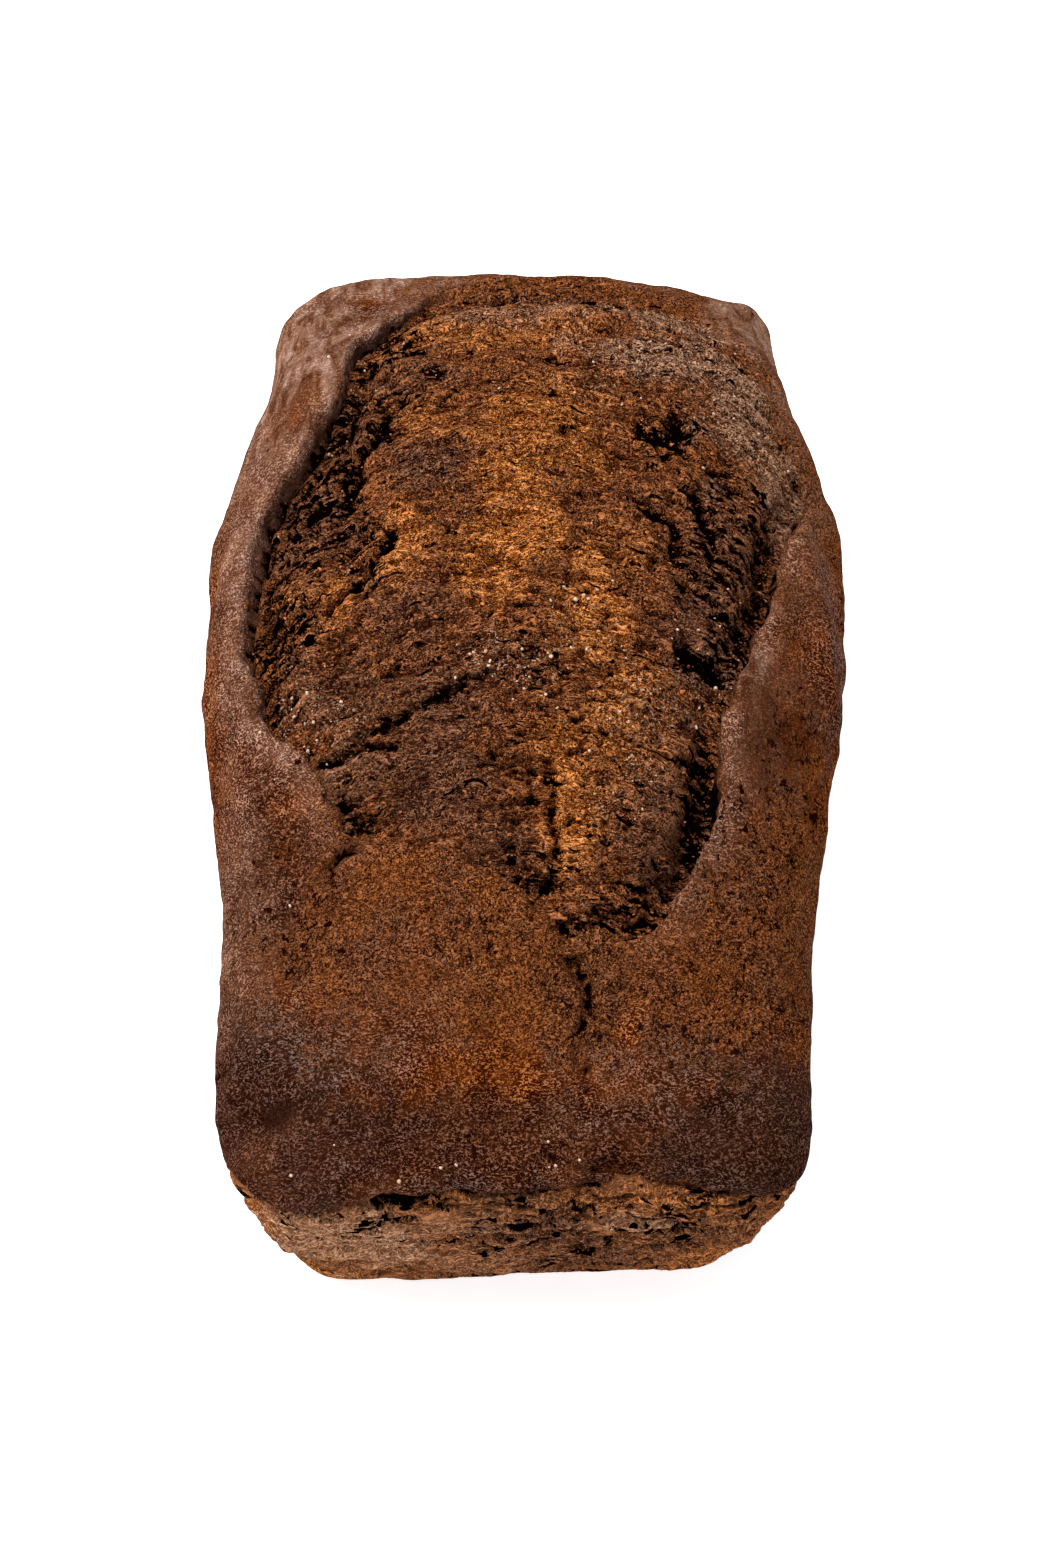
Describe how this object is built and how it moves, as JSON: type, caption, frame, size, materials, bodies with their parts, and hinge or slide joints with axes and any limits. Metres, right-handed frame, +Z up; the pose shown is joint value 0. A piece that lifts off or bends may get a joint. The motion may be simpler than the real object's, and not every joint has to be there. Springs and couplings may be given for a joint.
{
  "type": "banana bread loaf",
  "caption": "Whole uncut banana bread loaf with a tin-shaped body, a domed top torn open by a wide burst, and a flaky near end.",
  "frame": {"origin": "centre of the flat underside that the loaf rests on", "axes": "+Z up, +Y along the loaf from its near end to its far end, +X across it to the right seen from the near end"},
  "size_m": [0.13, 0.2258, 0.0925],
  "materials": {
    "baked_crust": "matte baked crust, torn to an open crumb along the top and at the near end"
  },
  "bodies": {
    "root": {"loaf": "baked_crust"}
  },
  "joints": []
}
